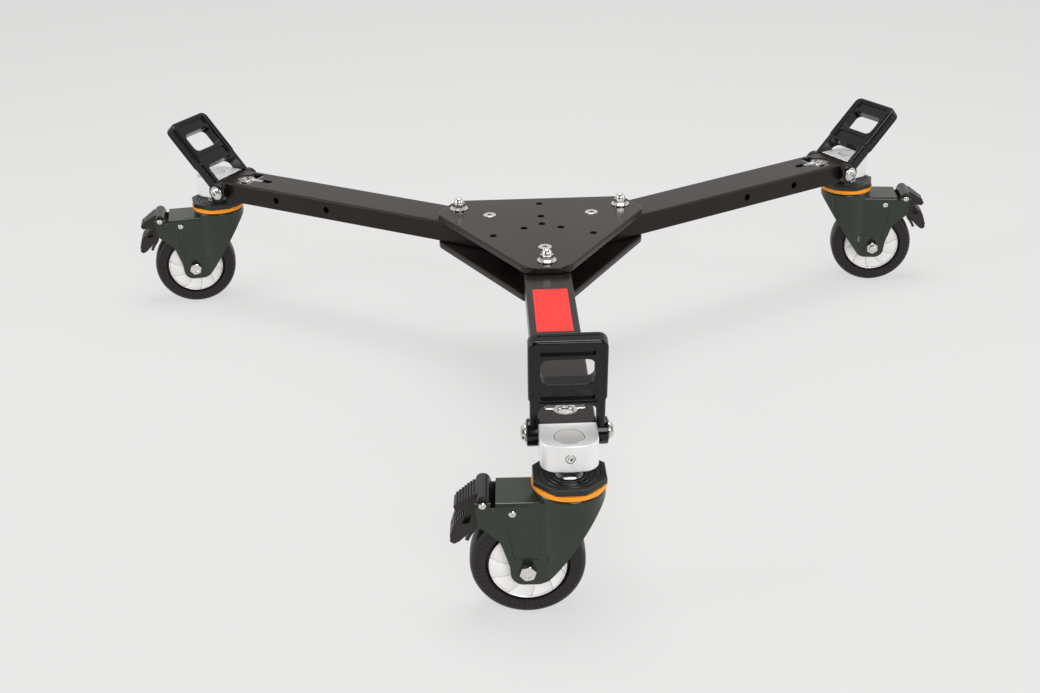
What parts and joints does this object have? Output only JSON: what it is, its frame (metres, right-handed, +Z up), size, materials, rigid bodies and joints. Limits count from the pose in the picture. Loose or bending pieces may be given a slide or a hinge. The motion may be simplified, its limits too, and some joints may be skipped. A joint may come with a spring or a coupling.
{
  "type": "camera floor dolly",
  "caption": "Tripod dolly: triangular centre plates clamp box arms with spike seats, flip-over foot clamps and braked swivel casters.",
  "frame": {"origin": "middle of the whole dolly's box, on the floor", "axes": "+Z up, the single arm points along -Y, +X to the right"},
  "size_m": [1.0314, 0.7912, 0.261],
  "materials": {
    "plate_black": "satin powder coat",
    "arm_black": "satin powder coat",
    "block_alloy": "fine satin",
    "zinc": "bright zinc plate",
    "lever_black": "glossy moulded",
    "cap_black": "satin",
    "seal_orange": "smooth moulded",
    "fork_green": "semi-gloss grey green coat",
    "tyre_rubber": "matte",
    "hub_silver": "silver paint",
    "pedal_nylon": "fine grain"
  },
  "bodies": {
    "frame": {"top_plate": "plate_black", "bottom_plate": "plate_black", "front_arm_bolt": "zinc", "front_dome_nut": "zinc", "front_plate_screw": "zinc", "front_arm_tube": "arm_black", "front_caster_block": "block_alloy", "front_set_screw": "zinc", "front_foot_seat": "block_alloy", "front_lever_bolt": "zinc", "front_swivel_stem": "zinc", "front_swivel_cap": "cap_black", "left_arm_bolt": "zinc", "left_dome_nut": "zinc", "left_plate_screw": "zinc", "left_arm_tube": "arm_black", "left_caster_block": "block_alloy", "left_set_screw": "zinc", "left_foot_seat": "block_alloy", "left_lever_bolt": "zinc", "left_swivel_stem": "zinc", "left_swivel_cap": "cap_black", "right_arm_bolt": "zinc", "right_dome_nut": "zinc", "right_plate_screw": "zinc", "right_arm_tube": "arm_black", "right_caster_block": "block_alloy", "right_set_screw": "zinc", "right_foot_seat": "block_alloy", "right_lever_bolt": "zinc", "right_swivel_stem": "zinc", "right_swivel_cap": "cap_black"},
    "front_clamp": {"front_foot_lever": "lever_black"},
    "front_caster": {"front_fork": "fork_green", "front_dust_seal": "seal_orange", "front_axle_bolt": "zinc", "front_axle_nut": "zinc", "front_brake_pin": "zinc"},
    "front_wheel": {"front_wheel_core": "hub_silver", "front_tyre": "tyre_rubber"},
    "front_pedal": {"front_brake_pedal": "pedal_nylon"},
    "left_clamp": {"left_foot_lever": "lever_black"},
    "left_caster": {"left_fork": "fork_green", "left_dust_seal": "seal_orange", "left_axle_bolt": "zinc", "left_axle_nut": "zinc", "left_brake_pin": "zinc"},
    "left_wheel": {"left_wheel_core": "hub_silver", "left_tyre": "tyre_rubber"},
    "left_pedal": {"left_brake_pedal": "pedal_nylon"},
    "right_clamp": {"right_foot_lever": "lever_black"},
    "right_caster": {"right_fork": "fork_green", "right_dust_seal": "seal_orange", "right_axle_bolt": "zinc", "right_axle_nut": "zinc", "right_brake_pin": "zinc"},
    "right_wheel": {"right_wheel_core": "hub_silver", "right_tyre": "tyre_rubber"},
    "right_pedal": {"right_brake_pedal": "pedal_nylon"}
  },
  "joints": [
    {"name": "front_clamp_hinge", "type": "hinge", "parent": "frame", "child": "front_clamp", "pos_m": [-0.00004, -0.3328, 0.1588], "axis": [1, 0, 0], "range_deg": [-61, 39]},
    {"name": "front_swivel", "type": "hinge", "parent": "frame", "child": "front_caster", "pos_m": [-0.00004, -0.3628, 0.1252], "axis": [0, 0, 1], "continuous": true},
    {"name": "front_wheel_spin", "type": "hinge", "parent": "front_caster", "child": "front_wheel", "pos_m": [-0.03702, -0.36183, 0.051], "axis": [-0.0262, -0.9997, 0], "continuous": true},
    {"name": "front_brake_hinge", "type": "hinge", "parent": "front_caster", "child": "front_pedal", "pos_m": [-0.07451, -0.36085, 0.1182], "axis": [-0.0262, -0.9997, 0], "range_deg": [0, 6.5]},
    {"name": "left_clamp_hinge", "type": "hinge", "parent": "frame", "child": "left_clamp", "pos_m": [-0.38195, 0.3287, 0.1588], "axis": [-0.5, -0.866, 0], "range_deg": [-93, 7]},
    {"name": "left_swivel", "type": "hinge", "parent": "frame", "child": "left_caster", "pos_m": [-0.40793, 0.3437, 0.1252], "axis": [0, 0, 1], "continuous": true},
    {"name": "left_wheel_spin", "type": "hinge", "parent": "left_caster", "child": "left_wheel", "pos_m": [-0.44448, 0.33791, 0.051], "axis": [0.1564, -0.9877, 0], "continuous": true},
    {"name": "left_brake_hinge", "type": "hinge", "parent": "left_caster", "child": "left_pedal", "pos_m": [-0.48152, 0.33204, 0.1182], "axis": [0.1564, -0.9877, 0], "range_deg": [0, 6.5]},
    {"name": "right_clamp_hinge", "type": "hinge", "parent": "frame", "child": "right_clamp", "pos_m": [0.38188, 0.3287, 0.1588], "axis": [-0.5, 0.866, 0], "range_deg": [-99, 1]},
    {"name": "right_swivel", "type": "hinge", "parent": "frame", "child": "right_caster", "pos_m": [0.40786, 0.3437, 0.1252], "axis": [0, 0, 1], "continuous": true},
    {"name": "right_wheel_spin", "type": "hinge", "parent": "right_caster", "child": "right_wheel", "pos_m": [0.44453, 0.33874, 0.051], "axis": [0.134, 0.991, 0], "continuous": true},
    {"name": "right_brake_hinge", "type": "hinge", "parent": "right_caster", "child": "right_pedal", "pos_m": [0.48169, 0.33372, 0.1182], "axis": [0.134, 0.991, 0], "range_deg": [0, 6.5]}
  ]
}
